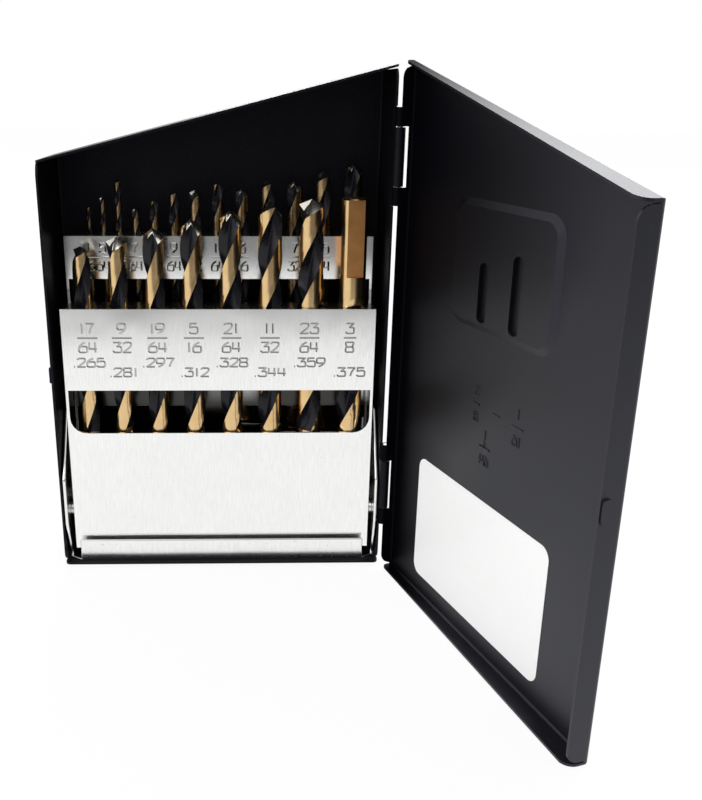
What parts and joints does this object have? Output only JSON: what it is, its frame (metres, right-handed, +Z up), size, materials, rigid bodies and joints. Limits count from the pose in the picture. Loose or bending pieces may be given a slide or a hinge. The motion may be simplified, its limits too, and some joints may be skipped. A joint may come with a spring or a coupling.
{
  "type": "drill bit case",
  "caption": "Folded sheet-steel case that opens like a book on a side hinge, with two tilting zinc racks of twist drills held upright in graded sizes",
  "frame": {"origin": "middle of the outside of the base's bottom wall, on the surface it stands on", "axes": "+Z up, along the hinge and the drills; +X across the base towards its hinge wall; +Y from the open front to the back"},
  "size_m": [0.1658, 0.1534, 0.1842],
  "materials": {
    "case_paint": "satin black stoving paint",
    "label_film": "white film, bare",
    "pin_steel": "drawn steel wire",
    "zinc_sheet": "bright zinc plate",
    "rivet_steel": "zinc plated, upset ends",
    "drill_steel": "gold-coloured lands over black oxide flutes"
  },
  "bodies": {
    "base": {"case_base": "case_paint", "hinge_pin_lower": "pin_steel", "hinge_pin_upper": "pin_steel", "rack_bracket": "zinc_sheet", "front_pivot_left": "rivet_steel", "front_pivot_right": "rivet_steel", "back_pivot_left": "rivet_steel", "back_pivot_right": "rivet_steel"},
    "lid": {"case_lid": "case_paint", "size_label": "label_film"},
    "front_rack": {"front_rack": "zinc_sheet", "front_shelf": "zinc_sheet"},
    "back_rack": {"back_rack": "zinc_sheet", "back_stair": "zinc_sheet"},
    "drill_17_64_body": {"drill_17_64": "drill_steel"},
    "drill_9_32_body": {"drill_9_32": "drill_steel"},
    "drill_19_64_body": {"drill_19_64": "drill_steel"},
    "drill_5_16_body": {"drill_5_16": "drill_steel"},
    "drill_21_64_body": {"drill_21_64": "drill_steel"},
    "drill_11_32_body": {"drill_11_32": "drill_steel"},
    "drill_23_64_body": {"drill_23_64": "drill_steel"},
    "drill_3_8_body": {"drill_3_8": "drill_steel"},
    "drill_1_16_body": {"drill_1_16": "drill_steel"},
    "drill_5_64_body": {"drill_5_64": "drill_steel"},
    "drill_3_32_body": {"drill_3_32": "drill_steel"},
    "drill_7_64_body": {"drill_7_64": "drill_steel"},
    "drill_1_8_body": {"drill_1_8": "drill_steel"},
    "drill_9_64_body": {"drill_9_64": "drill_steel"},
    "drill_5_32_body": {"drill_5_32": "drill_steel"},
    "drill_11_64_body": {"drill_11_64": "drill_steel"},
    "drill_3_16_body": {"drill_3_16": "drill_steel"},
    "drill_13_64_body": {"drill_13_64": "drill_steel"},
    "drill_7_32_body": {"drill_7_32": "drill_steel"},
    "drill_15_64_body": {"drill_15_64": "drill_steel"},
    "drill_1_4_body": {"drill_1_4": "drill_steel"}
  },
  "joints": [
    {"name": "lid_hinge", "type": "hinge", "parent": "base", "child": "lid", "pos_m": [0.06155, -0.0175, 0.093], "axis": [0, 0, 1], "range_deg": [-108.5, 71.5]},
    {"name": "front_rack_tilt", "type": "hinge", "parent": "base", "child": "front_rack", "pos_m": [0, -0.0096, 0.0205], "axis": [1, 0, 0], "range_deg": [0, 30]},
    {"name": "back_rack_tilt", "type": "hinge", "parent": "base", "child": "back_rack", "pos_m": [0, 0.0061, 0.0205], "axis": [1, 0, 0], "range_deg": [0, 15]},
    {"name": "lift_17_64", "type": "slide", "parent": "front_rack", "child": "drill_17_64_body", "axis": [0, 0, 1], "range_m": [0, 0.029]},
    {"name": "lift_9_32", "type": "slide", "parent": "front_rack", "child": "drill_9_32_body", "axis": [0, 0, 1], "range_m": [0, 0.029]},
    {"name": "lift_19_64", "type": "slide", "parent": "front_rack", "child": "drill_19_64_body", "axis": [0, 0, 1], "range_m": [0, 0.029]},
    {"name": "lift_5_16", "type": "slide", "parent": "front_rack", "child": "drill_5_16_body", "axis": [0, 0, 1], "range_m": [0, 0.029]},
    {"name": "lift_21_64", "type": "slide", "parent": "front_rack", "child": "drill_21_64_body", "axis": [0, 0, 1], "range_m": [0, 0.029]},
    {"name": "lift_11_32", "type": "slide", "parent": "front_rack", "child": "drill_11_32_body", "axis": [0, 0, 1], "range_m": [0, 0.03]},
    {"name": "lift_23_64", "type": "slide", "parent": "front_rack", "child": "drill_23_64_body", "axis": [0, 0, 1], "range_m": [0, 0.033]},
    {"name": "lift_3_8", "type": "slide", "parent": "front_rack", "child": "drill_3_8_body", "axis": [0, 0, 1], "range_m": [0, 0.036]},
    {"name": "lift_1_16", "type": "slide", "parent": "back_rack", "child": "drill_1_16_body", "axis": [0, 0, 1], "range_m": [0, 0.017]},
    {"name": "lift_5_64", "type": "slide", "parent": "back_rack", "child": "drill_5_64_body", "axis": [0, 0, 1], "range_m": [0, 0.016]},
    {"name": "lift_3_32", "type": "slide", "parent": "back_rack", "child": "drill_3_32_body", "axis": [0, 0, 1], "range_m": [0, 0.011]},
    {"name": "lift_7_64", "type": "slide", "parent": "back_rack", "child": "drill_7_64_body", "axis": [0, 0, 1], "range_m": [0, 0.022]},
    {"name": "lift_1_8", "type": "slide", "parent": "back_rack", "child": "drill_1_8_body", "axis": [0, 0, 1], "range_m": [0, 0.021]},
    {"name": "lift_9_64", "type": "slide", "parent": "back_rack", "child": "drill_9_64_body", "axis": [0, 0, 1], "range_m": [0, 0.02]},
    {"name": "lift_5_32", "type": "slide", "parent": "back_rack", "child": "drill_5_32_body", "axis": [0, 0, 1], "range_m": [0, 0.021]},
    {"name": "lift_11_64", "type": "slide", "parent": "back_rack", "child": "drill_11_64_body", "axis": [0, 0, 1], "range_m": [0, 0.02]},
    {"name": "lift_3_16", "type": "slide", "parent": "back_rack", "child": "drill_3_16_body", "axis": [0, 0, 1], "range_m": [0, 0.025]},
    {"name": "lift_13_64", "type": "slide", "parent": "back_rack", "child": "drill_13_64_body", "axis": [0, 0, 1], "range_m": [0, 0.025]},
    {"name": "lift_7_32", "type": "slide", "parent": "back_rack", "child": "drill_7_32_body", "axis": [0, 0, 1], "range_m": [0, 0.027]},
    {"name": "lift_15_64", "type": "slide", "parent": "back_rack", "child": "drill_15_64_body", "axis": [0, 0, 1], "range_m": [0, 0.027]},
    {"name": "lift_1_4", "type": "slide", "parent": "back_rack", "child": "drill_1_4_body", "axis": [0, 0, 1], "range_m": [0, 0.026]}
  ],
  "couplings": [
    {"joint": "back_rack_tilt", "follows": "front_rack_tilt", "ratio": 0.5}
  ]
}
